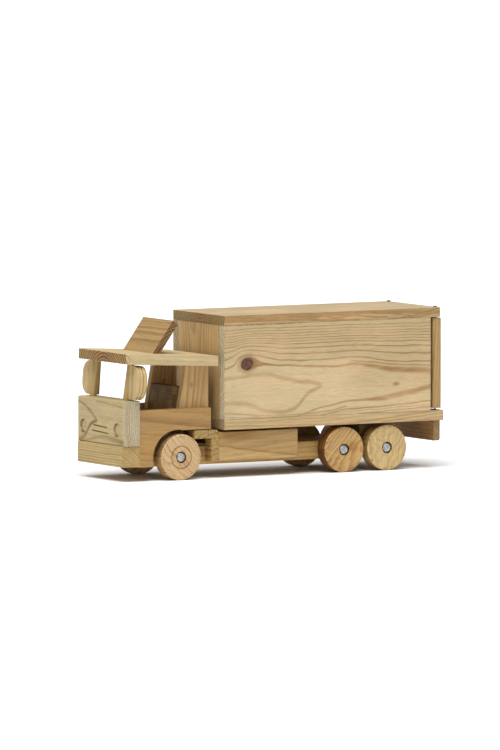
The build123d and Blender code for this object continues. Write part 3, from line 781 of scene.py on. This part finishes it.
# What the wheels of one axle share, and the colour zone of the near one.
WHEEL_LOOKS = {
    "front": (dict(pale=srgb(220, 176, 122), dark=srgb(176, 122, 72), contrast=0.85, swirl=3.0,
                   sides=(0.80, 0.70, 0.58), turned=0.35), front_wheel_zone),
    "mid": (dict(pale=srgb(220, 168, 106), dark=srgb(172, 108, 56), contrast=0.75, swirl=2.2,
                 sides=(0.62, 0.44, 0.28), turned=0.7), mid_wheel_zone),
    "rear": (dict(pale=srgb(218, 176, 114), dark=srgb(172, 122, 66), contrast=0.65, swirl=4.0,
                  sides=(0.84, 0.74, 0.60), turned=0.35), None)}

for node, (grain_angle, pith, tilt, spacing, seed) in WHEELS.items():
    _, axle, side = node.split("_")
    looks, zone = WHEEL_LOOKS[axle]
    board(node, leaning(grain_angle), X if side == "left" else -X, pith=pith, spacing=spacing,
          tilt=tilt, seed=seed, late=0.55, wobble=1.2, end_dark=0.7, speckle=0.7, worn=False,
          zone=zone if side == "left" else None, **looks)

# ---------------------------------------------------------------- steel pieces

AXLE_CENTRE, NAILS_CENTRE = (0, 0, 29), (0, 224, 100)
dress("axle_caps", metal("steel_caps", AXLE_CENTRE, "X", srgb(186, 190, 190),
                         srgb(142, 146, 148), 2.0, 0.42))
for node in ("axle_front", "axle_mid", "axle_rear"):
    dress(node, metal("steel_" + node, AXLE_CENTRE, "X", srgb(176, 180, 182),
                      srgb(120, 124, 128), 5.0, 0.3))
dress("hinge_nails", metal("steel_nails", NAILS_CENTRE, "Z", srgb(122, 122, 124),
                           srgb(74, 72, 72), 7.0, 0.42))

# ---------------------------------------------------------------- floor, light and camera

FLOOR_HALF = 60.0
FLOOR_GREY = 0.90
SKY_STRENGTH = 0.42
SUN_STRENGTH = 3.7
SUN_AZIMUTH, SUN_ELEVATION, SUN_WIDTH = 48, 68, 50

# The camera stands far off, as a long lens does. It looks past the truck's middle by a little
# to the left and upwards, which sets the truck in the frame without a lens shift.
VIEW_AZIMUTH, VIEW_ELEVATION = 60.0, 4.45
VIEW_DISTANCE = 14.316
TRUCK_MIDDLE = Vector((0.0, -0.0015, 0.100))
AIM_LEFT, AIM_UP = 0.0105775, 0.0228757
SENSOR_WIDTH, LENS = 36, 543.1104
NEAR_CLIP, FAR_CLIP = 0.5, 200


def backwards(azimuth, elevation):
    """Direction from the truck to a camera or light, in degrees. Azimuth 0 is in front."""
    a, e = math.radians(azimuth), math.radians(elevation)
    return Vector((math.sin(a) * math.cos(e), -math.cos(a) * math.cos(e), math.sin(e)))


def floor_sheet():
    mesh = bpy.data.meshes.new("studio_floor")
    h = FLOOR_HALF
    mesh.from_pydata([(-h, -h, 0), (h, -h, 0), (h, h, 0), (-h, h, 0)], [], [(0, 1, 2, 3)])
    sheet = bpy.data.objects.new("studio_floor", mesh)
    bpy.context.scene.collection.objects.link(sheet)
    t = Tree("studio_floor")
    shader = t.node("ShaderNodeBsdfPrincipled")
    shader.inputs["Base Color"].default_value = (FLOOR_GREY, FLOOR_GREY, FLOOR_GREY, 1)
    shader.inputs["Roughness"].default_value = 0.9
    shader.inputs["Specular IOR Level"].default_value = 0.0
    out = t.node("ShaderNodeOutputMaterial")
    t.put(out.inputs[0], shader.outputs[0])
    mesh.materials.append(t.material)


def key_light():
    """A soft distant light that shines from above and a little in front of the camera."""
    light = bpy.data.lights.new("key", "SUN")
    light.energy = SUN_STRENGTH
    light.angle = math.radians(SUN_WIDTH)
    holder = bpy.data.objects.new("key", light)
    holder.rotation_mode = "QUATERNION"
    back = backwards(SUN_AZIMUTH, SUN_ELEVATION)
    holder.rotation_quaternion = back.to_track_quat("Z", "Y")
    bpy.context.scene.collection.objects.link(holder)


def sky():
    scene = bpy.context.scene
    scene.view_settings.view_transform = "Standard"
    world = bpy.data.worlds.new("studio")
    world.use_nodes = True
    background = world.node_tree.nodes["Background"]
    background.inputs["Color"].default_value = WHITE
    background.inputs["Strength"].default_value = SKY_STRENGTH
    scene.world = world


def camera():
    back = backwards(VIEW_AZIMUTH, VIEW_ELEVATION)
    right = (-back).cross(Z).normalized()
    up = right.cross(-back)
    eye = TRUCK_MIDDLE + back * VIEW_DISTANCE
    aim = TRUCK_MIDDLE - right * AIM_LEFT + up * AIM_UP
    data = bpy.data.cameras.new("camera")
    data.sensor_width = SENSOR_WIDTH
    data.lens = LENS
    data.clip_start, data.clip_end = NEAR_CLIP, FAR_CLIP
    holder = bpy.data.objects.new("camera", data)
    holder.location = eye
    holder.rotation_mode = "QUATERNION"
    holder.rotation_quaternion = (aim - eye).to_track_quat("-Z", "Y")
    bpy.context.scene.collection.objects.link(holder)
    bpy.context.scene.camera = holder


floor_sheet()
sky()
key_light()
camera()
